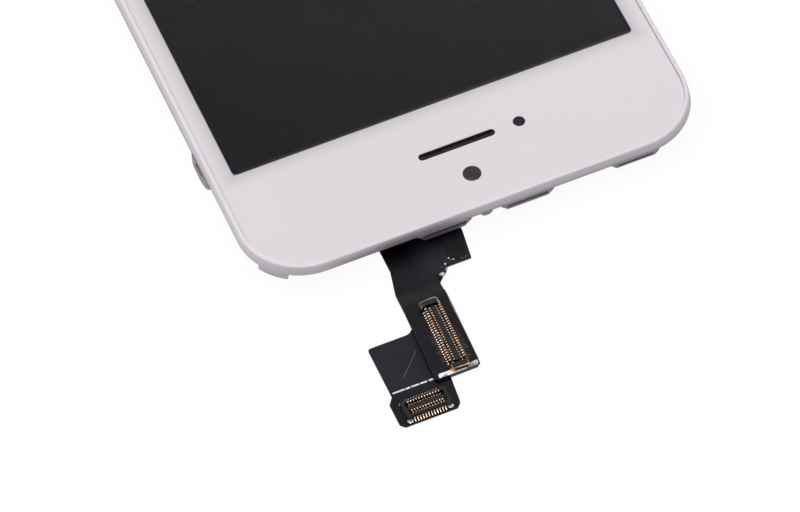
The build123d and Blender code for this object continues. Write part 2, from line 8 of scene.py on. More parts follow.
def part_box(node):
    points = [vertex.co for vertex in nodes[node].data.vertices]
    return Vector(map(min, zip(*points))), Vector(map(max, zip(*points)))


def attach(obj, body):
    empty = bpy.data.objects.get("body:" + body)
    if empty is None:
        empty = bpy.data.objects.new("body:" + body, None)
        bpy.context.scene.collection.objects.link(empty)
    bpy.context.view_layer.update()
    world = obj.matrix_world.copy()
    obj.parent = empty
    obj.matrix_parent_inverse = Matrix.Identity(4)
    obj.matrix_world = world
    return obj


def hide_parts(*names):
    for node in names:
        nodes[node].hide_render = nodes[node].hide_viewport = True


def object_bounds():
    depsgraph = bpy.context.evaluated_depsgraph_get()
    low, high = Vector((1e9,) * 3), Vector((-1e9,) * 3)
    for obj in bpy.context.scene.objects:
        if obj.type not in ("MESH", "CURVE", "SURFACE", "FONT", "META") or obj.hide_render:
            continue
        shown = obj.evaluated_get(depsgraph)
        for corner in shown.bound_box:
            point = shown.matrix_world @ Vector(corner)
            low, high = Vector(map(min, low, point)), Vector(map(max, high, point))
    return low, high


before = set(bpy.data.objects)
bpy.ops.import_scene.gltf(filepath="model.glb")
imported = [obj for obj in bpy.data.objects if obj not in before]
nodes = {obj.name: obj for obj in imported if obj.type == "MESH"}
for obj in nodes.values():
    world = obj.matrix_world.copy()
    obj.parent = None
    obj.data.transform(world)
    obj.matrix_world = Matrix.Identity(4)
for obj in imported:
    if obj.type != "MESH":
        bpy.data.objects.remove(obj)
cad_box = [list(corner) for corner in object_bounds()]

# Backlight: a stamped steel tray, a moulded ring, the light guide with its films and the lamp strip. The
# tray is bright cold-rolled steel, brushed along its length by the rolling, with a faint mottle. The films
# are milky, and their prisms, too fine to show, are drawn at a fifth of a millimetre.
MM = 0.001


def linear(code):
    """An sRGB hex colour as linear red, green, blue and alpha."""
    parts = [int(code[place:place + 2], 16) / 255 for place in (1, 3, 5)]
    return [p / 12.92 if p <= 0.04045 else ((p + 0.055) / 1.055) ** 2.4 for p in parts] + [1.0]


def put(tree, kind, sockets=None, stops=(), **settings):
    """Adds a node with its settings; a socket takes a value, a node or a node's output."""
    made = tree.nodes.new(kind)
    for name, value in settings.items():
        setattr(made, name, value)
    for name, value in (sockets or {}).items():
        if isinstance(value, bpy.types.Node):
            value = next(output for output in value.outputs if output.enabled)
        if isinstance(value, bpy.types.NodeSocket):
            tree.links.new(value, made.inputs[name])
        else:
            made.inputs[name].default_value = value
    for place, (position, code) in enumerate(stops):
        if place > 1:
            made.color_ramp.elements.new(1.0)
        made.color_ramp.elements[place].position = position
        made.color_ramp.elements[place].color = linear(code)
    return made


def material(name):
    """A named material with an empty node tree, and the Object coordinates that its patterns read."""
    made = bpy.data.materials.new(name)
    made.use_nodes = True
    tree = made.node_tree
    tree.nodes.clear()
    return made, tree, put(tree, "ShaderNodeTexCoord").outputs["Object"]


def finished(tree, shader):
    """Leads a shader to the material's surface."""
    put(tree, "ShaderNodeOutputMaterial", {"Surface": shader})


def dress(finish, *names):
    """Gives CAD nodes a finish through their own material slots."""
    for name in names:
        slots = nodes[name].data.materials
        for place in range(len(slots)):
            slots[place] = finish


rolling_width = 0.4 * MM
rolling_length = 6.0 * MM
mottle_size = 8.333 * MM
rolled_steel, tree, where = material("rolled_steel_bright")
stretched = put(tree, "ShaderNodeMapping", {
    "Vector": where, "Scale": (1 / rolling_width, 1 / rolling_length, 1 / rolling_width)})
streaks = put(tree, "ShaderNodeTexNoise", {"Vector": stretched, "Scale": 1.0, "Detail": 3.0})
mottle = put(tree, "ShaderNodeTexNoise", {"Vector": where, "Scale": 1 / mottle_size, "Detail": 2.0})
tone = put(tree, "ShaderNodeValToRGB", {"Fac": mottle}, stops=((0.3, "#b2b2b4"), (0.7, "#c4c4c6")))
rough = put(tree, "ShaderNodeMapRange", {"Value": streaks, "To Min": 0.26, "To Max": 0.40})
relief = put(tree, "ShaderNodeBump", {"Height": streaks, "Strength": 0.15, "Distance": 0.01 * MM})
finished(tree, put(tree, "ShaderNodeBsdfPrincipled", {
    "Base Color": tone, "Metallic": 1.0, "Roughness": rough, "Normal": relief}))
dress(rolled_steel, "backlight_tray", "end_lugs")

film_groove = 0.2 * MM
haze_size = 11.11 * MM
film_finish, tree, where = material("prism_film_milky")
grooves = put(tree, "ShaderNodeTexWave", {"Vector": where, "Scale": 1 / film_groove / pi})
relief = put(tree, "ShaderNodeBump", {"Height": grooves, "Strength": 0.2, "Distance": 0.01 * MM})
haze = put(tree, "ShaderNodeTexNoise", {"Vector": where, "Scale": 1 / haze_size})
tone = put(tree, "ShaderNodeValToRGB", {"Fac": haze}, stops=((0.3, "#e6e8e8"), (0.7, "#f2f3f3")))
finished(tree, put(tree, "ShaderNodeBsdfPrincipled", {
    "Base Color": tone, "Roughness": 0.35, "Normal": relief}))
dress(film_finish, "upper_prism_sheet", "lower_prism_sheet", "diffuser_sheet", "light_guide",
      "reflector_sheet", "backlight_frame", "led_strip", "leds")

# Display cell: two thin panes with the liquid crystal between them, and a polarizer on each side. The
# front polarizer is a neutral grey film over the black of the unlit cell, and its coat mirrors a little
# more than glass. A narrow band at the window's edge is painted darker and bluer, a painted shade cast
# by the edge of the print.
window_width = 51.74 * MM
window_length = 90.25 * MM
edge_shade_width = 0.16 * MM
cell_cloud = 71.43 * MM
coat_index = 1.7


def past_edge(tree, where, width, length):
    """How far a point lies outside a centred rectangle, which is below zero inside it."""
    split = put(tree, "ShaderNodeSeparateXYZ", {"Vector": where})
    beside = put(tree, "ShaderNodeMath", {0: split.outputs["X"]}, operation="ABSOLUTE")
    side_gap = put(tree, "ShaderNodeMath", {0: beside, 1: width / 2}, operation="SUBTRACT")
    along = put(tree, "ShaderNodeMath", {0: split.outputs["Y"]}, operation="ABSOLUTE")
    end_gap = put(tree, "ShaderNodeMath", {0: along, 1: length / 2}, operation="SUBTRACT")
    return put(tree, "ShaderNodeMath", {0: side_gap, 1: end_gap}, operation="MAXIMUM")


unlit_cell, tree, where = material("unlit_cell_under_polarizer")
gap = past_edge(tree, where, window_width, window_length)
# Painted shade: a narrow band along the window's edge is darker and bluer.
edge_shade = put(tree, "ShaderNodeMath", {0: gap, 1: -edge_shade_width}, operation="GREATER_THAN")
cloud = put(tree, "ShaderNodeTexNoise", {"Vector": where, "Scale": 1 / cell_cloud, "Detail": 1.0})
tone = put(tree, "ShaderNodeValToRGB", {"Fac": cloud}, stops=((0.35, "#0c0b10"), (0.65, "#0e0d12")))
masked = put(tree, "ShaderNodeMix", {"Factor": edge_shade, "A": tone, "B": linear("#06051a")}, data_type="RGBA")
finished(tree, put(tree, "ShaderNodeBsdfPrincipled", {
    "Base Color": masked, "Roughness": 0.05, "IOR": coat_index}))
dress(unlit_cell, "front_polarizer", "rear_polarizer", "driver_chip")

glass_index = 1.5
cell_glass, tree, where = material("thin_cell_glass")
clear = put(tree, "ShaderNodeBsdfTransparent", {"Color": linear("#dfe8e6")})
shine = put(tree, "ShaderNodeBsdfGlossy", {"Roughness": 0.03})
edge = put(tree, "ShaderNodeFresnel", {"IOR": glass_index})
finished(tree, put(tree, "ShaderNodeMixShader", {"Fac": edge, 1: clear, 2: shine}))
dress(cell_glass, "array_glass", "colour_filter_glass")

# Clear bonding sheet: an optically clear gel pressed between glass and polarizer, which takes away
# the air gap, so that no surface of its own shows.
clear_gel, tree, where = material("clear_bonding_gel")
finished(tree, put(tree, "ShaderNodeBsdfTransparent", {"Color": linear("#fdfdfd")}))
dress(clear_gel, "optical_adhesive")

# White border: several passes of screen-printed ink on the back of the glass, dense and even. Towards the
# window the ink is painted darker, a painted shade, and a bluish hairline rims the window. A violet-black
# spot of infra-red ink closes the sensor hole.
window_shade_width = 2.2 * MM
ink_cloud = 40.0 * MM
ink_white, tree, where = material("screen_printed_white_ink")
gap = past_edge(tree, where, window_width, window_length)
# Painted shade: the ink darkens over the last two millimetres towards the window.
window_shade = put(tree, "ShaderNodeMapRange", {"Value": gap, "From Min": 0.0, "From Max": window_shade_width})
tone = put(tree, "ShaderNodeValToRGB", {"Fac": window_shade}, stops=(
    (0.0, "#b3b4c6"), (0.05, "#d3cfd2"), (0.35, "#ded9dc"), (0.75, "#e9e3e6"), (1.0, "#ebe5e9")))
cloud = put(tree, "ShaderNodeTexNoise", {"Vector": where, "Scale": 1 / ink_cloud, "Detail": 4.0})
even = put(tree, "ShaderNodeValToRGB", {"Fac": cloud}, stops=((0.3, "#fbfbfb"), (0.7, "#ffffff")))
inked = put(tree, "ShaderNodeMix", {
    "Factor": 1.0, "A": tone, "B": even}, data_type="RGBA", blend_type="MULTIPLY")
finished(tree, put(tree, "ShaderNodeBsdfPrincipled", {"Base Color": inked, "Roughness": 0.6}))
dress(ink_white, "border_print")

spot_cloud = 1.111 * MM
ink_violet, tree, where = material("infra_red_ink_violet")
cloud = put(tree, "ShaderNodeTexNoise", {"Vector": where, "Scale": 1 / spot_cloud, "Detail": 2.0})
tone = put(tree, "ShaderNodeValToRGB", {"Fac": cloud}, stops=((0.3, "#0d0624"), (0.7, "#140b30")))
finished(tree, put(tree, "ShaderNodeBsdfPrincipled", {
    "Base Color": tone, "Roughness": 0.5, "Specular IOR Level": 0.1}))
dress(ink_violet, "sensor_window")

# Cover glass: one sheet of chemically toughened glass, cut to shape, with its slot and button hole drilled
# and every edge ground round and polished. It mirrors its surroundings faintly, more at a low angle and at
# the round edge. Over the window the film that is bonded to its back carries the reflection of both.
glass_width = 56.22 * MM
glass_length = 122.53 * MM
glass_corner = 7.52 * MM
glass_back = 3.42 * MM
glass_front = 3.95 * MM
glass_edge = 0.10 * MM
slot_width = 9.74 * MM
slot_height = 0.88 * MM
slot_gap = 6.80 * MM
slot_y = -window_length / 2 - slot_gap
home_radius = 5.50 * MM
home_y = 53.435 * MM
arc_handle = 0.5523
arc_steps = 24
flat_face = 0.999
wipe_size = 16.67 * MM


def rounded_outline(curve, middle_y, width, length, corner):
    """Adds a closed outline with four round corners; a slot or a circle has the largest corner."""
    spline = curve.splines.new("BEZIER")
    spline.bezier_points.add(7)
    spline.use_cyclic_u = True
    flat_x = width / 2 - corner
    flat_y = length / 2 - corner
    reach = corner * arc_handle
    centre = Vector((0, middle_y, 0))
    for number, point in enumerate(spline.bezier_points):
        side_x, side_y = ((1, 1), (-1, 1), (-1, -1), (1, -1))[number // 2]
        leaving = number % 2 == 1
        on_end = leaving == (side_x * side_y > 0)
        if on_end:
            spot = Vector((side_x * flat_x, side_y * (flat_y + corner), 0))
            bend = Vector((side_x * reach, 0, 0))
        else:
            spot = Vector((side_x * (flat_x + corner), side_y * flat_y, 0))
            bend = Vector((0, side_y * reach, 0))
        point.co = centre + spot
        point.handle_right = centre + (spot if leaving else spot + bend)
        point.handle_left = centre + (spot + bend if leaving else spot)


def mesh_piece(name, curve, group=None, values=None):
    """Makes a mesh piece from a drawn curve, or from what a node group with these values makes of it."""
    drawn = bpy.data.objects.new(name + "_drawn", curve)
    bpy.context.scene.collection.objects.link(drawn)
    if group:
        modifier = drawn.modifiers.new("set_out", "NODES")
        modifier.node_group = group
        for item in group.interface.items_tree:
            if item.name in values:
                modifier[item.identifier] = values[item.name]
    ready = drawn.evaluated_get(bpy.context.evaluated_depsgraph_get())
    mesh = bpy.data.meshes.new_from_object(ready)
    bpy.data.objects.remove(drawn)
    mesh.name = name
    made = bpy.data.objects.new(name, mesh)
    bpy.context.scene.collection.objects.link(made)
    return made


def plate(name, curve, back, front, edge_round):
    """Turns a flat filled outline into a plate with rounded edges, between two levels."""
    curve.dimensions = "2D"
    curve.fill_mode = "BOTH"
    curve.resolution_u = arc_steps
    curve.extrude = (front - back) / 2 - edge_round
    curve.bevel_depth = edge_round
    curve.bevel_resolution = 2
    curve.offset = -edge_round
    made = mesh_piece(name, curve)
    made.data.transform(Matrix.Translation((0, 0, (front + back) / 2)))
    for face in made.data.polygons:
        face.use_smooth = abs(face.normal.z) < flat_face
    return made


outline = bpy.data.curves.new("cover_glass_outline", "CURVE")
rounded_outline(outline, 0, glass_width, glass_length, glass_corner)
rounded_outline(outline, slot_y, slot_width, slot_height, slot_height / 2)
rounded_outline(outline, home_y, 2 * home_radius, 2 * home_radius, home_radius)
cover = plate("polished_cover_glass", outline, glass_back, glass_front, glass_edge)

toughened, tree, where = material("toughened_glass_polished")
clear = put(tree, "ShaderNodeBsdfTransparent", {"Color": linear("#fefefe")})
wipes = put(tree, "ShaderNodeTexNoise", {"Vector": where, "Scale": 1 / wipe_size, "Detail": 3.0})
polish = put(tree, "ShaderNodeMapRange", {"Value": wipes, "To Min": 0.03, "To Max": 0.07})
shine = put(tree, "ShaderNodeBsdfGlossy", {"Roughness": polish})
edge = put(tree, "ShaderNodeFresnel", {"IOR": glass_index})
side = put(tree, "ShaderNodeNewGeometry")
front = put(tree, "ShaderNodeMath", {0: 1.0, 1: side.outputs["Backfacing"]}, operation="SUBTRACT")
gap = past_edge(tree, where, window_width, window_length)
border = put(tree, "ShaderNodeMath", {0: gap, 1: 0.0}, operation="GREATER_THAN")
shown = put(tree, "ShaderNodeMath", {0: front, 1: border}, operation="MULTIPLY")
share = put(tree, "ShaderNodeMath", {0: edge, 1: shown}, operation="MULTIPLY")
finished(tree, put(tree, "ShaderNodeMixShader", {"Fac": share, 1: clear, 2: shine}))
cover.data.materials.append(toughened)
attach(cover, "root")
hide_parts("cover_glass")

# Front frame: glass-filled white plastic, injection moulded with its hooks. The tool's fine texture leaves
# it
# satin. Its tone is painted shade: darker lower down and towards the hooks, darkest on the end wall round
# the flexes. The left wall is painted lighter, as lit from the left.
grain = 0.12 * MM
flow_size = 22.22 * MM
hook_level = 1.50 * MM
lip_level = 3.70 * MM
deep_shade_part = (-7.0 * MM, -1.5 * MM)
corner_part = (-21.0 * MM, -17.0 * MM)
moulded_white, tree, where = material("moulded_plastic_white_satin")
texture = put(tree, "ShaderNodeTexNoise", {"Vector": where, "Scale": 1 / grain, "Detail": 2.0})
satin = put(tree, "ShaderNodeBump", {"Height": texture, "Strength": 0.25, "Distance": 0.01 * MM})
split = put(tree, "ShaderNodeSeparateXYZ", {"Vector": where})
# Painted shade: the plastic darkens lower down, from the lip towards the hooks, most on the end wall round
# the flexes.
height = put(tree, "ShaderNodeMapRange", {
    "Value": split.outputs["Z"], "From Min": hook_level, "From Max": lip_level})
flow = put(tree, "ShaderNodeTexNoise", {"Vector": where, "Scale": 1 / flow_size, "Detail": 2.0})
flow_and_height_shade = put(tree, "ShaderNodeMath", {0: flow, 1: 0.04, 2: height}, operation="MULTIPLY_ADD")
deep_shade_tone = put(tree, "ShaderNodeValToRGB", {"Fac": flow_and_height_shade}, stops=(
    (0.0, "#69636a"), (0.42, "#777078"), (0.48, "#a29aa1"), (0.72, "#b5adb4"), (0.96, "#e4dde2")))
light_shade_tone = put(tree, "ShaderNodeValToRGB", {"Fac": flow_and_height_shade}, stops=(
    (0.0, "#7f7980"), (0.42, "#8f8990"), (0.48, "#c0b9c0"), (0.70, "#dbd4da"), (1.0, "#e6e0e4")))
past_deep_shade = put(tree, "ShaderNodeMapRange", {
    "Value": split.outputs["X"], "From Min": deep_shade_part[0], "From Max": deep_shade_part[1]})
shaded_end_tone = put(tree, "ShaderNodeMix", {
    "Factor": past_deep_shade, "A": deep_shade_tone, "B": light_shade_tone}, data_type="RGBA")
# Painted light: the left wall is given a lighter tone, as lit from the left.
lit_side_tone = put(tree, "ShaderNodeValToRGB", {"Fac": flow_and_height_shade}, stops=(
    (0.0, "#c9c2c8"), (0.5, "#d3ccd2"), (1.0, "#e6e0e4")))
past_corner = put(tree, "ShaderNodeMapRange", {
    "Value": split.outputs["X"], "From Min": corner_part[0], "From Max": corner_part[1]})
tone = put(tree, "ShaderNodeMix", {"Factor": past_corner, "A": lit_side_tone, "B": shaded_end_tone}, data_type="RGBA")
finished(tree, put(tree, "ShaderNodeBsdfPrincipled", {
    "Base Color": tone, "Roughness": 0.38, "Normal": satin}))
dress(moulded_white, "front_frame", "frame_adhesive")

# Side rails: stainless strip, stamped with its slotted clips, then tumbled to take off the burrs. That
# leaves it dull and finely pitted, darker and greyer than the tray.
tumble_size = 0.6667 * MM
rail_steel, tree, where = material("stamped_steel_dull")
tumble = put(tree, "ShaderNodeTexNoise", {"Vector": where, "Scale": 1 / tumble_size, "Detail": 3.0})
tone = put(tree, "ShaderNodeValToRGB", {"Fac": tumble}, stops=((0.3, "#77737a"), (0.7, "#87838a")))
relief = put(tree, "ShaderNodeBump", {"Height": tumble, "Strength": 0.3, "Distance": 0.01 * MM})
finished(tree, put(tree, "ShaderNodeBsdfPrincipled", {
    "Base Color": tone, "Metallic": 1.0, "Roughness": 0.42, "Normal": relief}))
dress(rail_steel, "side_rail_left", "side_rail_right")

# Earpiece mesh: fine woven wire, blackened, glued under the slot. The real weave is too fine to show,
# so it is drawn at a quarter of a millimetre.
wire_pitch = 0.25 * MM
mesh_black, tree, where = material("woven_wire_blackened")
warp = put(tree, "ShaderNodeTexWave", {"Vector": where, "Scale": 1 / wire_pitch / pi}, bands_direction="X")
weft = put(tree, "ShaderNodeTexWave", {"Vector": where, "Scale": 1 / wire_pitch / pi}, bands_direction="Y")
weave = put(tree, "ShaderNodeMath", {0: warp.outputs["Fac"], 1: weft.outputs["Fac"]}, operation="MAXIMUM")
tone = put(tree, "ShaderNodeValToRGB", {"Fac": weave}, stops=((0.4, "#020101"), (0.95, "#140d0b")))
relief = put(tree, "ShaderNodeBump", {"Height": weave, "Strength": 0.8, "Distance": 0.05 * MM})
finished(tree, put(tree, "ShaderNodeBsdfPrincipled", {
    "Base Color": tone, "Roughness": 0.6, "Specular IOR Level": 0.08, "Normal": relief}))
dress(mesh_black, "earpiece_mesh")

# Gasket, collars and tape: black foam rubber, moulded plastic and black film, all matt. The camera's
# collar is moulded in a dark grey of its own.
pore_size = 0.4 * MM
black_matt, tree, where = material("black_moulding_matt")
pores = put(tree, "ShaderNodeTexNoise", {"Vector": where, "Scale": 1 / pore_size, "Detail": 2.0})
tone = put(tree, "ShaderNodeValToRGB", {"Fac": pores}, stops=((0.3, "#100e0f"), (0.7, "#1a1718")))
finished(tree, put(tree, "ShaderNodeBsdfPrincipled", {"Base Color": tone, "Roughness": 0.65}))
dress(black_matt, "earpiece_gasket", "sensor_holder", "flex_tape")

collar_flow = 1.111 * MM
collar_grey, tree, where = material("camera_collar_grey_plastic")
flow = put(tree, "ShaderNodeTexNoise", {"Vector": where, "Scale": 1 / collar_flow, "Detail": 2.0})
tone = put(tree, "ShaderNodeValToRGB", {"Fac": flow}, stops=((0.3, "#6c666c"), (0.7, "#7b747b")))
finished(tree, put(tree, "ShaderNodeBsdfPrincipled", {"Base Color": tone, "Roughness": 0.6}))
dress(collar_grey, "camera_holder")

# Flexes: copper tracks laminated in polyimide under a glossy, near black cover coat, which ripples with
# the film. On the branch and the ear it is painted a lighter slate, which is painted light. Beside the
# large connector the tracks' ends show as pale broken marks. Places are in millimetres from the left wall
# and outward from the end wall.
left_wall = -28.59 * MM
end_wall = -61.745 * MM
ripple_size = 1.4 * MM
orange_peel = 0.22 * MM
patch_size = 5.556 * MM
branch_side = (14.6, 12.6)
branch_end = (18.6, 17.4)
ear_side = (17.6, 20.0)
ear_end = (6.2, 3.6)
touch_middle = 17.12
touch_pitch = 0.372
track_breaks = 0.5 * MM
track_reach = (2.3 * MM, 1.5 * MM)
tracks_start = (11.0, 14.0)
tracks_stop = (18.3, 17.2)


def ramp_across(tree, split, ends):
    """A value that rises from none to one between two places from the left wall."""
    return put(tree, "ShaderNodeMapRange", {
        "Value": split.outputs["X"], "From Min": left_wall + ends[0] * MM,
        "From Max": left_wall + ends[1] * MM})


def ramp_outward(tree, split, ends):
    """A value that rises from none to one between two places outward from the end wall."""
    return put(tree, "ShaderNodeMapRange", {
        "Value": split.outputs["Y"], "From Min": end_wall - ends[0] * MM,
        "From Max": end_wall - ends[1] * MM})


black_flex, tree, where = material("flex_black_cover_coat")
split = put(tree, "ShaderNodeSeparateXYZ", {"Vector": where})
ripple = put(tree, "ShaderNodeTexNoise", {"Vector": where, "Scale": 1 / ripple_size, "Detail": 2.0})
peel = put(tree, "ShaderNodeTexNoise", {"Vector": where, "Scale": 1 / orange_peel, "Detail": 2.0})
fine = put(tree, "ShaderNodeMath", {0: peel, 1: 0.06, 2: ripple}, operation="MULTIPLY_ADD")
relief = put(tree, "ShaderNodeBump", {"Height": fine, "Strength": 0.6, "Distance": 0.12 * MM})
patchy = put(tree, "ShaderNodeTexNoise", {"Vector": where, "Scale": 1 / patch_size, "Detail": 3.0})
dark_tone = put(tree, "ShaderNodeValToRGB", {"Fac": patchy}, stops=((0.3, "#06060b"), (0.7, "#111119")))
# Painted light: the branch and the ear get this lighter slate tone.
painted_light_tone = put(tree, "ShaderNodeValToRGB", {"Fac": patchy}, stops=((0.3, "#181821"), (0.7, "#20202b")))
branch = put(tree, "ShaderNodeMath", {
    0: ramp_across(tree, split, branch_side), 1: ramp_outward(tree, split, branch_end)},
    operation="MULTIPLY")
ear = put(tree, "ShaderNodeMath", {
    0: ramp_across(tree, split, ear_side), 1: ramp_outward(tree, split, ear_end)}, operation="MULTIPLY")
painted_light_patch = put(tree, "ShaderNodeMath", {0: branch, 1: ear}, operation="MAXIMUM")
tone = put(tree, "ShaderNodeMix", {"Factor": painted_light_patch, "A": dark_tone, "B": painted_light_tone}, data_type="RGBA")
tracks = put(tree, "ShaderNodeTexWave", {
    "Vector": where, "Scale": 1 / (touch_pitch * MM) / pi, "Distortion": 2.6, "Detail Scale": 2.0},
    bands_direction="Y")
broken = put(tree, "ShaderNodeTexNoise", {"Vector": where, "Scale": 1 / track_breaks, "Detail": 1.0})
worn = put(tree, "ShaderNodeMath", {0: tracks.outputs["Fac"], 1: broken}, operation="MULTIPLY")
from_middle = put(tree, "ShaderNodeMath", {
    0: split.outputs["X"], 1: left_wall + touch_middle * MM}, operation="SUBTRACT")
off_middle = put(tree, "ShaderNodeMath", {0: from_middle}, operation="ABSOLUTE")
near_rows = put(tree, "ShaderNodeMapRange", {
    "Value": off_middle, "From Min": track_reach[0], "From Max": track_reach[1]})
stretch = put(tree, "ShaderNodeMath", {
    0: ramp_outward(tree, split, tracks_start), 1: ramp_outward(tree, split, tracks_stop)},
    operation="MULTIPLY")
region = put(tree, "ShaderNodeMath", {0: near_rows, 1: stretch}, operation="MULTIPLY")
shown = put(tree, "ShaderNodeMath", {0: worn, 1: region}, operation="MULTIPLY")
track_mask = put(tree, "ShaderNodeMapRange", {"Value": shown, "From Min": 0.22, "From Max": 0.5})
tracked = put(tree, "ShaderNodeMix", {
    "Factor": track_mask, "A": tone, "B": linear("#4a4b57")}, data_type="RGBA")
finished(tree, put(tree, "ShaderNodeBsdfPrincipled", {
    "Base Color": tracked, "Roughness": 0.24, "Specular IOR Level": 0.3, "Normal": relief}))
dress(black_flex, "display_flex", "touch_flex")

# Marks on the flexes: a dashed white line where the branch meets its connector, a painted highlight on the
# step where the flex rises over its stiffener, and a crease that handling has left in the cover coat.
branch_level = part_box("display_connector")[0].z
dash_thickness = 0.02 * MM
dash_edge = 0.004 * MM
dash_start = (8.49, 18.09)
dash_end = (13.57, 18.12)
dash_spans = ((0.0, 0.293), (0.310, 0.436), (0.466, 0.659), (0.685, 0.852), (0.892, 1.0))
dash_steps = 4
dash_width = 0.24
uneven_width = (0.75, 1.1)
speck_size = 0.3333 * MM


def from_walls(x, y, z=0.0):
    """A place in the frame, from millimetres off the left wall and outward from the end wall."""
    return left_wall + x * MM, end_wall - y * MM, z


def add_run(curve, places, closed=False):
    """Adds straight stretches through places to a curve."""
    spline = curve.splines.new("POLY")
    spline.points.add(len(places) - 1)
    spline.use_cyclic_u = closed
    for point, place in zip(spline.points, places):
        point.co = (*place, 1)


random.seed(7)
dashes = bpy.data.curves.new("highlight_dashes_outline", "CURVE")
for first, last in dash_spans:
    shares = [first + (last - first) * step / dash_steps for step in range(dash_steps + 1)]
    rim = [(share, -1) for share in shares] + [(share, 1) for share in reversed(shares)]
    places = []
    for share, rim_side in rim:
        x, y = (start + (end - start) * share for start, end in zip(dash_start, dash_end))
        half_width = dash_width / 2 * random.uniform(*uneven_width)
        places.append(from_walls(x, y + rim_side * half_width))
    add_run(dashes, places, closed=True)
highlight_line = plate("highlight_dashes", dashes, branch_level, branch_level + dash_thickness, dash_edge)
# Painted highlight: the dashes are white for the light that the flex's step catches.
painted_highlight_white, tree, where = material("dashes_painted_highlight")
speck = put(tree, "ShaderNodeTexNoise", {"Vector": where, "Scale": 1 / speck_size, "Detail": 2.0})
tone = put(tree, "ShaderNodeValToRGB", {"Fac": speck}, stops=((0.3, "#cfcfd4"), (0.6, "#f4f4f6")))
finished(tree, put(tree, "ShaderNodeBsdfPrincipled", {"Base Color": tone, "Roughness": 0.55}))
highlight_line.data.materials.append(painted_highlight_white)
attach(highlight_line, "root")

crease_run = ((10.45, 16.59), (11.34, 15.70), (12.29, 14.70), (13.28, 13.61))
crease_radius = 0.05 * MM
crease_level = branch_level - crease_radius / 2
crease_wear = 0.6667 * MM


def drawn_line(name, run, radius, level, finish):
    """A thin round line that lies on a flex or a connector, along a run of places from the walls."""
    curve = bpy.data.curves.new(name + "_run", "CURVE")
    curve.dimensions = "3D"
    curve.bevel_depth = radius
    curve.bevel_resolution = 2
    curve.use_fill_caps = True
    spline = curve.splines.new("NURBS")
    spline.points.add(len(run) - 1)
    for point, (x, y) in zip(spline.points, run):
        point.co = (*from_walls(x, y, level), 1)
        point.radius = random.uniform(*uneven_width)
    spline.order_u = 3
    spline.use_endpoint_u = True
    made = mesh_piece(name, curve)
    made.data.shade_smooth()
    made.data.materials.append(finish)
    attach(made, "root")


creased_film, tree, where = material("cover_coat_creased_pale")
worn = put(tree, "ShaderNodeTexNoise", {"Vector": where, "Scale": 1 / crease_wear, "Detail": 2.0})
tone = put(tree, "ShaderNodeValToRGB", {"Fac": worn}, stops=((0.3, "#4c4c58"), (0.7, "#70707c")))
finished(tree, put(tree, "ShaderNodeBsdfPrincipled", {"Base Color": tone, "Roughness": 0.4}))
drawn_line("branch_crease", crease_run, crease_radius, crease_level, creased_film)

# Cut edges: where the punch went through the copper, the long flex shows a fine brown line. Along the end
# of the branch a pale line is a painted highlight on its edge.
flex_thickness = 0.15 * MM
touch_edge_run = ((19.66, 7.20), (19.66, 9.4), (19.57, 11.7), (19.48, 14.0), (19.36, 17.9))
touch_edge_radius = 0.06 * MM
touch_edge_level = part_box("touch_connector")[0].z - flex_thickness / 2
tarnish_size = 1.429 * MM
copper_edge, tree, where = material("copper_edge_tarnished")
tarnish = put(tree, "ShaderNodeTexNoise", {"Vector": where, "Scale": 1 / tarnish_size, "Detail": 2.0})
tone = put(tree, "ShaderNodeValToRGB", {"Fac": tarnish}, stops=((0.35, "#4a2a26"), (0.65, "#b06a4c")))
finished(tree, put(tree, "ShaderNodeBsdfPrincipled", {
    "Base Color": tone, "Metallic": 0.2, "Roughness": 0.45}))
drawn_line("touch_flex_cut_edge", touch_edge_run, touch_edge_radius, touch_edge_level, copper_edge)

branch_edge_run = ((15.44, 19.4), (15.36, 20.4), (15.29, 21.4), (15.22, 22.2))
branch_edge_radius = 0.05 * MM
branch_edge_level = branch_level - flex_thickness / 2
highlight_break_size = 1.111 * MM
# Painted highlight: a pale, broken line along the branch's end edge.
painted_edge_highlight, tree, where = material("edge_highlight_painted_pale")
highlight_breaks = put(tree, "ShaderNodeTexNoise", {"Vector": where, "Scale": 1 / highlight_break_size, "Detail": 2.0})
tone = put(tree, "ShaderNodeValToRGB", {"Fac": highlight_breaks}, stops=((0.35, "#77706e"), (0.65, "#d8cdc6")))
finished(tree, put(tree, "ShaderNodeBsdfPrincipled", {"Base Color": tone, "Roughness": 0.5}))
drawn_line("branch_edge_highlight", branch_edge_run, branch_edge_radius, branch_edge_level, painted_edge_highlight)

# Stiffeners: stainless plates bonded under the flexes, dulled, and painted dark for the shade they lie in.
# A tinned strip ends the front of the large flex; it is bright, with grey smudges of flux.
strip_corners = (
    (14.32, 18.08), (15.4, 18.12), (16.6, 18.07), (17.9, 18.13), (19.10, 18.02), (19.22, 18.14),
    (19.16, 18.50), (18.9, 18.70), (14.20, 18.70), (14.18, 18.30))
strip_thickness = 0.05 * MM
strip_edge = 0.02 * MM
strip_sunk = 0.02 * MM
strip_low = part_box("touch_connector")[0].z - strip_sunk
smudge_size = 1.429 * MM
outline = bpy.data.curves.new("tinned_end_outline", "CURVE")
add_run(outline, [from_walls(x, y) for x, y in strip_corners], closed=True)
strip = plate("tinned_end_strip", outline, strip_low, strip_low + strip_thickness, strip_edge)
tinned_bright, tree, where = material("tinned_strip_bright")
smudge = put(tree, "ShaderNodeTexNoise", {"Vector": where, "Scale": 1 / smudge_size, "Detail": 3.0})
tone = put(tree, "ShaderNodeValToRGB", {"Fac": smudge}, stops=((0.38, "#8d898d"), (0.47, "#fdfbfb")))
finished(tree, put(tree, "ShaderNodeBsdfPrincipled", {
    "Base Color": tone, "Metallic": 0.3, "Roughness": 0.35}))
strip.data.materials.append(tinned_bright)
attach(strip, "root")

plate_mottle = 2.5 * MM
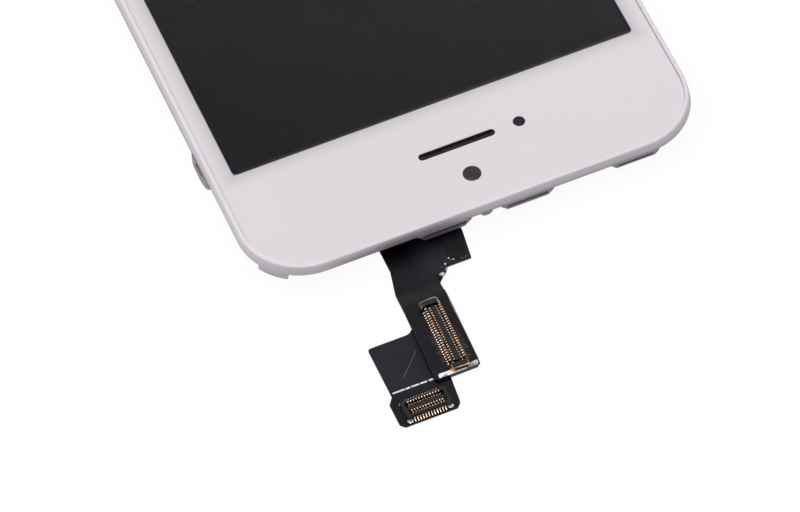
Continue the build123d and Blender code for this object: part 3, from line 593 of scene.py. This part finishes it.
# Painted shade: the plates' steel is darkened for the shade under the flexes.
steel_plate_painted_shade, tree, where = material("stainless_plate_painted_shade")
rolled = put(tree, "ShaderNodeTexNoise", {"Vector": where, "Scale": 1 / plate_mottle, "Detail": 3.0})
tone = put(tree, "ShaderNodeValToRGB", {"Fac": rolled}, stops=((0.35, "#3a3940"), (0.65, "#55545c")))
finished(tree, put(tree, "ShaderNodeBsdfPrincipled", {
    "Base Color": tone, "Metallic": 0.8, "Roughness": 0.4}))
dress(steel_plate_painted_shade, "touch_stiffener", "display_stiffener")

# Connectors: bodies moulded in black heat-proof plastic, with a ring of wall, a trench and an island. The
# moulding is even and nearly matt, with a faint sheen on its edges.
body_flow = 0.7143 * MM
connector_black, tree, where = material("connector_plastic_black")
flow = put(tree, "ShaderNodeTexNoise", {"Vector": where, "Scale": 1 / body_flow, "Detail": 2.0})
tone = put(tree, "ShaderNodeValToRGB", {"Fac": flow}, stops=((0.3, "#0b0b0d"), (0.7, "#151519")))
finished(tree, put(tree, "ShaderNodeBsdfPrincipled", {
    "Base Color": tone, "Roughness": 0.4, "Specular IOR Level": 0.35}))
dress(connector_black, "display_connector", "touch_connector")

# Contacts: phosphor-bronze strip, stamped, formed round its bends and plated with gold over nickel. Each
# has a tail that slopes down to its pad, and two arms in the trench, one at the wall and one at the island.
# One contact is drawn from the side, in millimetres, and the tree sweeps it and sets it out in two rows.
contact_width = 0.16 * MM
contact_metal = 0.10 * MM
bend_radius = 0.08 * MM
edge_radius = 0.025 * MM
trench_half = 0.80
island_half = 0.40
trench_floor = 0.07
arm_gap = 0.07
arm_top = 0.79
wall_lap = 0.10
wrap_foot = 0.09
island_top = 0.70
island_lap = 0.06
pad_level = 0.05
tail_turn = 0.10
tail_level = 0.10
tail_sunk = 0.02
tail_end = 0.10
root_level = 0.32
touch_count = 22
touch_reach = 1.22
touch_body_half = 0.95
touch_turn = radians(-91.5)
display_count = 12
display_pitch = 0.35
display_reach = 1.65
display_body_half = 1.15
plating_size = 0.4545 * MM

rows = bpy.data.node_groups.new("contact_rows", "GeometryNodeTree")
for name, kind in (("Contact", "Geometry"), ("Count", "Int"), ("Pitch", "Float"), ("Width", "Float"),
                   ("Metal", "Float"), ("Bend", "Float"), ("Edge", "Float"), ("Plating", "Material")):
    rows.interface.new_socket(name, in_out="INPUT", socket_type="NodeSocket" + kind)
rows.interface.new_socket("Rows", in_out="OUTPUT", socket_type="NodeSocketGeometry")
given = put(rows, "NodeGroupInput").outputs
bent = put(rows, "GeometryNodeFilletCurve", {
    "Curve": given["Contact"], "Radius": given["Bend"], "Limit Radius": True, "Count": 4}, mode="POLY")
blank = put(rows, "GeometryNodeCurvePrimitiveQuadrilateral", {
    "Width": given["Width"], "Height": given["Metal"]})
section = put(rows, "GeometryNodeFilletCurve", {
    "Curve": blank, "Radius": given["Edge"], "Limit Radius": True, "Count": 2}, mode="POLY")
swept = put(rows, "GeometryNodeCurveToMesh", {"Curve": bent, "Profile Curve": section, "Fill Caps": True})
smooth = put(rows, "GeometryNodeSetShadeSmooth", {0: swept})
steps = put(rows, "ShaderNodeMath", {0: given["Count"], 1: 1.0}, operation="SUBTRACT")
span = put(rows, "ShaderNodeMath", {0: steps, 1: given["Pitch"]}, operation="MULTIPLY")
first = put(rows, "ShaderNodeMath", {0: span, 1: -0.5}, operation="MULTIPLY")
start = put(rows, "ShaderNodeCombineXYZ", {"X": first})
step = put(rows, "ShaderNodeCombineXYZ", {"X": given["Pitch"]})
places = put(rows, "GeometryNodeMeshLine", {
    "Count": given["Count"], "Start Location": start, "Offset": step})
near_row = put(rows, "GeometryNodeInstanceOnPoints", {"Points": places, "Instance": smooth})
far_row = put(rows, "GeometryNodeInstanceOnPoints", {
    "Points": places, "Instance": smooth, "Rotation": (0, 0, pi)})
both = put(rows, "GeometryNodeJoinGeometry", {"Geometry": near_row})
rows.links.new(far_row.outputs[0], both.inputs["Geometry"])
real = put(rows, "GeometryNodeRealizeInstances", {"Geometry": both})
plated = put(rows, "GeometryNodeSetMaterial", {"Geometry": real, "Material": given["Plating"]})
put(rows, "NodeGroupOutput", {"Rows": plated})


def contact_rows(name, turned, count, pitch, reach, body_half, wrapped, plating):
    """The two rows of contacts of one connector; they are wrapped over its wall or have a tail apart."""
    at_wall = trench_half - arm_gap
    at_island = island_half + arm_gap
    inside = (
        (at_wall, arm_top), (at_wall, trench_floor), (at_island, trench_floor), (at_island, island_top),
        (island_half - island_lap, island_top))
    if wrapped:
        outside = body_half + arm_gap
        runs = [((reach, pad_level), (outside, wrap_foot), (outside, arm_top)) + inside]
    else:
        tail = ((reach, pad_level), (body_half + tail_turn, tail_level),
                (body_half - tail_sunk, root_level), (body_half - tail_end, root_level))
        runs = [tail, ((trench_half + wall_lap, arm_top),) + inside]
    side_view = bpy.data.curves.new(name + "_side_view", "CURVE")
    side_view.dimensions = "3D"
    for run in runs:
        add_run(side_view, [(0, y * MM, z * MM) for y, z in run])
    formed = mesh_piece(name, side_view, rows, {
        "Count": count, "Pitch": pitch * MM, "Width": contact_width, "Metal": contact_metal,
        "Bend": bend_radius, "Edge": edge_radius, "Plating": plating})
    formed.data.transform(turned)
    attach(formed, "root")
    return formed


def connector_place(node, turn):
    """Where a connector stands on its flex, from its body's own box."""
    low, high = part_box(node)
    foot = Vector(((low.x + high.x) / 2, (low.y + high.y) / 2, low.z))
    return Matrix.Translation(foot) @ Matrix.Rotation(turn, 4, "Z")


plated_gold, tree, where = material("gold_plated_bronze")
plating = put(tree, "ShaderNodeTexNoise", {"Vector": where, "Scale": 1 / plating_size, "Detail": 2.0})
tone = put(tree, "ShaderNodeValToRGB", {"Fac": plating}, stops=((0.35, "#c99a78"), (0.65, "#f3e2cf")))
finished(tree, put(tree, "ShaderNodeBsdfPrincipled", {
    "Base Color": tone, "Metallic": 1.0, "Roughness": 0.22}))
touch_place = connector_place("touch_connector", touch_turn)
display_place = connector_place("display_connector", 0)
touch_rows = contact_rows("touch_contact_rows", touch_place, touch_count, touch_pitch, touch_reach,
                          touch_body_half, True, plated_gold)
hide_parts("touch_contacts")
display_rows = contact_rows("display_contact_rows", display_place, display_count, display_pitch,
                            display_reach, display_body_half, False, plated_gold)
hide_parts("display_contacts")

# Nails: straps that hold the connector bodies down. The large one's are bent round its ends, olive towards
# the wall and gold at the far end, whose middle and lower face are painted dark, a painted shade where the
# strap sinks. A clip rims the near end. The small one has four bright soldered tabs instead.
gilt_part = (12.0, 15.0)
strap_wear = 0.6667 * MM
strap_low, strap_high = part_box("touch_nails")
dark_middle_y = strap_low.y + 0.30 * MM
dark_middle_x = left_wall + 17.03 * MM
dark_along = (0.17 * MM, 0.12 * MM)
dark_across = (0.86 * MM, 0.78 * MM)
dark_below = (strap_high.z - 0.14 * MM, strap_high.z - 0.20 * MM)
clip_run = ((15.88, 8.95), (15.92, 8.50), (16.20, 8.32), (17.17, 8.28), (18.05, 8.30), (18.14, 8.60),
            (18.13, 9.3), (18.10, 10.0))
clip_radius = 0.12 * MM
clip_sunk = 0.04 * MM
clip_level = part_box("touch_connector")[1].z - clip_sunk
nail_metal, tree, where = material("nail_plating_worn")
split = put(tree, "ShaderNodeSeparateXYZ", {"Vector": where})
far_end = ramp_outward(tree, split, gilt_part)
wear = put(tree, "ShaderNodeTexNoise", {"Vector": where, "Scale": 1 / strap_wear, "Detail": 2.0})
olive = put(tree, "ShaderNodeValToRGB", {"Fac": wear}, stops=((0.35, "#5f5747"), (0.65, "#a89f8c")))
golden = put(tree, "ShaderNodeValToRGB", {"Fac": wear}, stops=((0.35, "#b07848"), (0.65, "#f0cf9f")))
plating = put(tree, "ShaderNodeMix", {"Factor": far_end, "A": olive, "B": golden}, data_type="RGBA")
from_end = put(tree, "ShaderNodeMath", {0: split.outputs["Y"], 1: dark_middle_y}, operation="SUBTRACT")
from_side = put(tree, "ShaderNodeMath", {0: split.outputs["X"], 1: dark_middle_x}, operation="SUBTRACT")
end_part = put(tree, "ShaderNodeMath", {0: from_end}, operation="ABSOLUTE")
side_part = put(tree, "ShaderNodeMath", {0: from_side}, operation="ABSOLUTE")
end_mask = put(tree, "ShaderNodeMapRange", {
    "Value": end_part, "From Min": dark_along[0], "From Max": dark_along[1]})
side_mask = put(tree, "ShaderNodeMapRange", {
    "Value": side_part, "From Min": dark_across[0], "From Max": dark_across[1]})
low_mask = put(tree, "ShaderNodeMapRange", {
    "Value": split.outputs["Z"], "From Min": dark_below[0], "From Max": dark_below[1]})
face_mask = put(tree, "ShaderNodeMath", {0: low_mask, 1: far_end}, operation="MULTIPLY")
either = put(tree, "ShaderNodeMath", {0: end_mask, 1: face_mask}, operation="MAXIMUM")
sunk_painted_shade = put(tree, "ShaderNodeMath", {0: either, 1: side_mask}, operation="MULTIPLY")
# Painted shade: the far end's middle and lower face are darkened where the strap sinks.
tone = put(tree, "ShaderNodeMix", {
    "Factor": sunk_painted_shade, "A": plating, "B": linear("#2b2226")}, data_type="RGBA")
finished(tree, put(tree, "ShaderNodeBsdfPrincipled", {
    "Base Color": tone, "Metallic": 0.9, "Roughness": 0.3}))
dress(nail_metal, "touch_nails")
drawn_line("near_end_clip", clip_run, clip_radius, clip_level, nail_metal)

tab_thickness = 0.14 * MM
tab_edge = 0.05 * MM
tab_inset = 1.0
tab_outlines = (
    ((-1.02, -1.12), (-0.40, -1.12), (-0.30, -1.34), (-0.42, -1.62), (-0.86, -1.64), (-1.02, -1.40)),
    ((1.02, -1.12), (0.40, -1.12), (0.34, -1.34), (0.52, -1.50), (0.95, -1.56), (1.10, -1.30)),
    ((-1.02, 1.12), (-0.45, 1.12), (-0.50, 1.36), (-0.95, 1.50), (-1.10, 1.25)),
    ((1.02, 1.12), (0.45, 1.12), (0.42, 1.42), (0.80, 1.62), (1.05, 1.45)))
solder_ripple = 0.625 * MM
body_low, body_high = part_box("display_connector")
tab_middle = (body_high.x - body_low.x) / 2 / MM - tab_inset
tabs = bpy.data.curves.new("display_tab_outline", "CURVE")
for corners in tab_outlines:
    middle = -tab_middle if corners[0][0] < 0 else tab_middle
    add_run(tabs, [((middle + x) * MM, y * MM, 0) for x, y in corners], closed=True)
tab_piece = plate("display_solder_tabs", tabs, 0.0, tab_thickness, tab_edge)
tab_piece.data.transform(display_place)
bright_tin, tree, where = material("solder_tin_bright")
rippled = put(tree, "ShaderNodeTexNoise", {"Vector": where, "Scale": 1 / solder_ripple, "Detail": 2.0})
relief = put(tree, "ShaderNodeBump", {"Height": rippled, "Strength": 0.9, "Distance": 0.12 * MM})
split = put(tree, "ShaderNodeSeparateXYZ", {"Vector": where})
row_far = put(tree, "ShaderNodeMath", {
    0: split.outputs["Y"], 1: (body_low.y + body_high.y) / 2}, operation="GREATER_THAN")
silver = put(tree, "ShaderNodeValToRGB", {"Fac": rippled}, stops=((0.32, "#c9bdb8"), (0.55, "#ffffff")))
golden = put(tree, "ShaderNodeValToRGB", {"Fac": rippled}, stops=((0.35, "#8a5a34"), (0.65, "#e2b98c")))
tone = put(tree, "ShaderNodeMix", {"Factor": row_far, "A": silver, "B": golden}, data_type="RGBA")
finished(tree, put(tree, "ShaderNodeBsdfPrincipled", {
    "Base Color": tone, "Metallic": 0.75, "Roughness": 0.25, "Normal": relief}))
tab_piece.data.materials.append(bright_tin)
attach(tab_piece, "root")
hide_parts("display_nails")

# Glue: drops of black resin set by ultraviolet light. The bead stays wet, and its white glints are painted
# highlights; the dot is smooth. Clear resin stands as a row of small drops along the ear, which a tree sets
# out on a line; their white glints are painted highlights too.
lump_size = 0.7143 * MM
bead_resin_with_painted_glints, tree, where = material("black_resin_bead_painted_glints")
lumps_and_painted_glints = put(tree, "ShaderNodeTexNoise", {"Vector": where, "Scale": 1 / lump_size, "Detail": 1.0})
relief = put(tree, "ShaderNodeBump", {"Height": lumps_and_painted_glints, "Strength": 0.9, "Distance": 0.16 * MM})
# Painted highlight: white patches in the bead's colour stand for glints.
tone = put(tree, "ShaderNodeValToRGB", {"Fac": lumps_and_painted_glints}, stops=((0.57, "#070708"), (0.66, "#c4c4ca")))
finished(tree, put(tree, "ShaderNodeBsdfPrincipled", {
    "Base Color": tone, "Roughness": 0.1, "Normal": relief}))
dress(bead_resin_with_painted_glints, "glue_bead")

skin_size = 2.0 * MM
dot_black, tree, where = material("black_resin_dot_smooth")
skin = put(tree, "ShaderNodeTexNoise", {"Vector": where, "Scale": 1 / skin_size, "Detail": 1.0})
tone = put(tree, "ShaderNodeValToRGB", {"Fac": skin}, stops=((0.3, "#020203"), (0.7, "#060608")))
finished(tree, put(tree, "ShaderNodeBsdfPrincipled", {
    "Base Color": tone, "Roughness": 0.4, "Specular IOR Level": 0.25}))
dress(dot_black, "flex_dot")

drop_line = ((21.9, 3.15), (22.4, 3.50), (23.1, 3.66), (24.1, 3.66))
drop_count = 9
drop_radius = 0.11 * MM
drop_spread = 0.08 * MM
drop_seed = 4
drop_shape = (1.0, 0.85, 0.6)
smallest_drop = 0.45
largest_drop = 1.15
painted_glint_size = 0.4545 * MM
drop_resin_with_painted_glints, tree, where = material("resin_drops_painted_glints")
painted_glint_noise = put(tree, "ShaderNodeTexNoise", {"Vector": where, "Scale": 1 / painted_glint_size, "Detail": 1.0})
# Painted highlight: white patches in the drops' colour stand for glints.
tone = put(tree, "ShaderNodeValToRGB", {"Fac": painted_glint_noise}, stops=((0.42, "#16161a"), (0.56, "#f4f4f8")))
finished(tree, put(tree, "ShaderNodeBsdfPrincipled", {"Base Color": tone, "Roughness": 0.15}))

strewn = bpy.data.node_groups.new("resin_drops", "GeometryNodeTree")
for name, kind in (("Line", "Geometry"), ("Count", "Int"), ("Drop", "Float"), ("Spread", "Float"),
                   ("Seed", "Int"), ("Resin", "Material")):
    strewn.interface.new_socket(name, in_out="INPUT", socket_type="NodeSocket" + kind)
strewn.interface.new_socket("Drops", in_out="OUTPUT", socket_type="NodeSocketGeometry")
given = put(strewn, "NodeGroupInput").outputs
spots = put(strewn, "GeometryNodeResampleCurve", {"Curve": given["Line"], "Count": given["Count"]})
less = put(strewn, "ShaderNodeMath", {0: given["Spread"], 1: -1.0}, operation="MULTIPLY")
low = put(strewn, "ShaderNodeCombineXYZ", {0: less, 1: less, 2: 0.0})
high = put(strewn, "ShaderNodeCombineXYZ", {0: given["Spread"], 1: given["Spread"], 2: 0.0})
shift = put(strewn, "FunctionNodeRandomValue", {
    "Min": low, "Max": high, "Seed": given["Seed"]}, data_type="FLOAT_VECTOR")
moved = put(strewn, "GeometryNodeSetPosition", {"Geometry": spots, "Offset": shift})
dome = put(strewn, "GeometryNodeMeshIcoSphere", {"Radius": given["Drop"], "Subdivisions": 3})
flatter = put(strewn, "GeometryNodeTransform", {"Geometry": dome, "Scale": drop_shape})
smooth = put(strewn, "GeometryNodeSetShadeSmooth", {0: flatter})
scale = put(strewn, "FunctionNodeRandomValue", {
    2: smallest_drop, 3: largest_drop, "Seed": given["Seed"]}, data_type="FLOAT")
drops = put(strewn, "GeometryNodeInstanceOnPoints", {
    "Points": moved, "Instance": smooth, "Scale": scale.outputs[1]})
real = put(strewn, "GeometryNodeRealizeInstances", {"Geometry": drops})
set_drops = put(strewn, "GeometryNodeSetMaterial", {"Geometry": real, "Material": given["Resin"]})
put(strewn, "NodeGroupOutput", {"Drops": set_drops})

drop_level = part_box("flex_dot")[0].z
line = bpy.data.curves.new("resin_drop_line", "CURVE")
line.dimensions = "3D"
add_run(line, [from_walls(x, y, drop_level) for x, y in drop_line])
resin_drops = mesh_piece("resin_drops", line, strewn, {
    "Count": drop_count, "Drop": drop_radius, "Spread": drop_spread, "Seed": drop_seed,
    "Resin": drop_resin_with_painted_glints})
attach(resin_drops, "root")

# Studio: a white floor that shows white to the camera and in reflections but keeps a soft shadow, a
# large overhead softbox and a plain grey-white surround. Under the object the floor is dark, as in a
# real studio, so no glow comes up through the camera hole.
floor_size = 1.6
floor_gap = 0.02 * MM
glow_share = 0.95
dark_width = 38.0 * MM
dark_length = 117.0 * MM
half = floor_size / 2
floor_mesh = bpy.data.meshes.new("studio_floor")
floor_mesh.from_pydata(
    [(-half, -half, 0), (half, -half, 0), (half, half, 0), (-half, half, 0)], [], [(0, 1, 2, 3)])
floor = bpy.data.objects.new("studio_floor", floor_mesh)
bpy.context.scene.collection.objects.link(floor)
floor.location.z = cad_box[0][2] - floor_gap
paper, tree, where = material("studio_paper")
gap = past_edge(tree, where, dark_width, dark_length)
open_floor = put(tree, "ShaderNodeMath", {0: gap, 1: 0.0}, operation="GREATER_THAN")
seen = put(tree, "ShaderNodeLightPath")
direct = put(tree, "ShaderNodeMath", {
    0: seen.outputs["Is Camera Ray"], 1: seen.outputs["Is Transmission Ray"]}, operation="MAXIMUM")
looked = put(tree, "ShaderNodeMath", {0: direct, 1: seen.outputs["Is Glossy Ray"]}, operation="MAXIMUM")
glowing = put(tree, "ShaderNodeMath", {0: looked, 1: glow_share}, operation="MULTIPLY")
visible = put(tree, "ShaderNodeMath", {0: glowing, 1: open_floor}, operation="MULTIPLY")
shade = put(tree, "ShaderNodeMix", {
    "Factor": direct, "A": linear("#c6c5c6"), "B": linear("#fcfcfc")}, data_type="RGBA")
matt = put(tree, "ShaderNodeBsdfDiffuse", {"Color": shade})
glow = put(tree, "ShaderNodeEmission", {"Color": (1, 1, 1, 1), "Strength": 1.0})
finished(tree, put(tree, "ShaderNodeMixShader", {"Fac": visible, 1: matt, 2: glow}))
floor_mesh.materials.append(paper)

# The surround is white near the ground for the camera and for reflections. Overhead it is a grey ceiling,
# a little lighter to the right and behind, and the window shows that as a slow change of tone.
ceiling_right = 4.67
ceiling_behind = 7.21
ceiling_middle = -4.49
ceiling_dark = 0.2
ceiling_light = 0.8
ceiling_starts = 0.65
horizon_ends = 0.25
room_light = 0.42
world = bpy.data.worlds.new("studio_surround")
world.use_nodes = True
bpy.context.scene.world = world
tree = world.node_tree
tree.nodes.clear()
seen = put(tree, "ShaderNodeLightPath")
facing = put(tree, "ShaderNodeTexCoord").outputs["Generated"]
split = put(tree, "ShaderNodeSeparateXYZ", {"Vector": facing})
rightward = put(tree, "ShaderNodeMath", {
    0: split.outputs["X"], 1: ceiling_right, 2: ceiling_middle}, operation="MULTIPLY_ADD")
backward = put(tree, "ShaderNodeMath", {
    0: split.outputs["Y"], 1: ceiling_behind, 2: rightward}, operation="MULTIPLY_ADD")
ceiling = put(tree, "ShaderNodeMapRange", {
    "Value": backward, "From Min": ceiling_dark, "From Max": ceiling_light,
    "To Min": ceiling_dark, "To Max": ceiling_light})
horizon = put(tree, "ShaderNodeMapRange", {
    "Value": split.outputs["Z"], "From Min": ceiling_starts, "From Max": horizon_ends})
mirrored = put(tree, "ShaderNodeMix", {0: horizon, 2: ceiling, 3: 1.0})
plain = put(tree, "ShaderNodeMix", {0: seen.outputs["Is Glossy Ray"], 2: room_light, 3: mirrored})
level = put(tree, "ShaderNodeMix", {0: seen.outputs["Is Camera Ray"], 2: plain, 3: 1.0})
sky = put(tree, "ShaderNodeBackground", {"Color": linear("#faf8fc"), "Strength": level})
put(tree, "ShaderNodeOutputWorld", {"Surface": sky})

softbox_size = 0.9
softbox_power = 9.0
softbox_place = Vector((-0.25, 0.10, 1.1))
softbox_aim = Vector((0, -0.03, 0))
lamp = bpy.data.lights.new("overhead", "AREA")
lamp.size = softbox_size
lamp.energy = softbox_power
softbox = bpy.data.objects.new("overhead", lamp)
softbox.location = softbox_place
softbox.rotation_mode = "QUATERNION"
softbox.rotation_quaternion = (softbox_aim - softbox_place).to_track_quat("-Z", "Y")
bpy.context.scene.collection.objects.link(softbox)
bpy.context.scene.view_settings.view_transform = "Standard"

# Camera: set from the photograph's own perspective. It stands to the left of the earpiece end and
# looks down, tilted a little, at the near end of the window.
camera_azimuth = radians(-19.289)
camera_elevation = radians(54.125)
camera_roll = radians(4.322)
camera_distance = 715.471 * MM
aim_right = -4.066 * MM
aim_up = -18.525 * MM
camera_lens = 270.17
camera_sensor = 36.0
nearest_seen = 0.05
farthest_seen = 10.0
window_end = Vector((0, -window_length / 2, glass_front))
back = Vector((
    sin(camera_azimuth) * cos(camera_elevation),
    -cos(camera_azimuth) * cos(camera_elevation),
    sin(camera_elevation)))
level = Vector((cos(camera_azimuth), sin(camera_azimuth), 0))
upright = back.cross(level)
right = level * cos(camera_roll) - upright * sin(camera_roll)
up = level * sin(camera_roll) + upright * cos(camera_roll)
camera_data = bpy.data.cameras.new("studio_camera")
camera_data.sensor_width = camera_sensor
camera_data.lens = camera_lens
camera_data.clip_start = nearest_seen
camera_data.clip_end = farthest_seen
camera = bpy.data.objects.new("studio_camera", camera_data)
turned = Matrix((right, up, back)).transposed().to_4x4()
camera.matrix_world = Matrix.Translation(
    window_end + back * camera_distance + right * aim_right + up * aim_up) @ turned
bpy.context.scene.collection.objects.link(camera)
bpy.context.scene.camera = camera
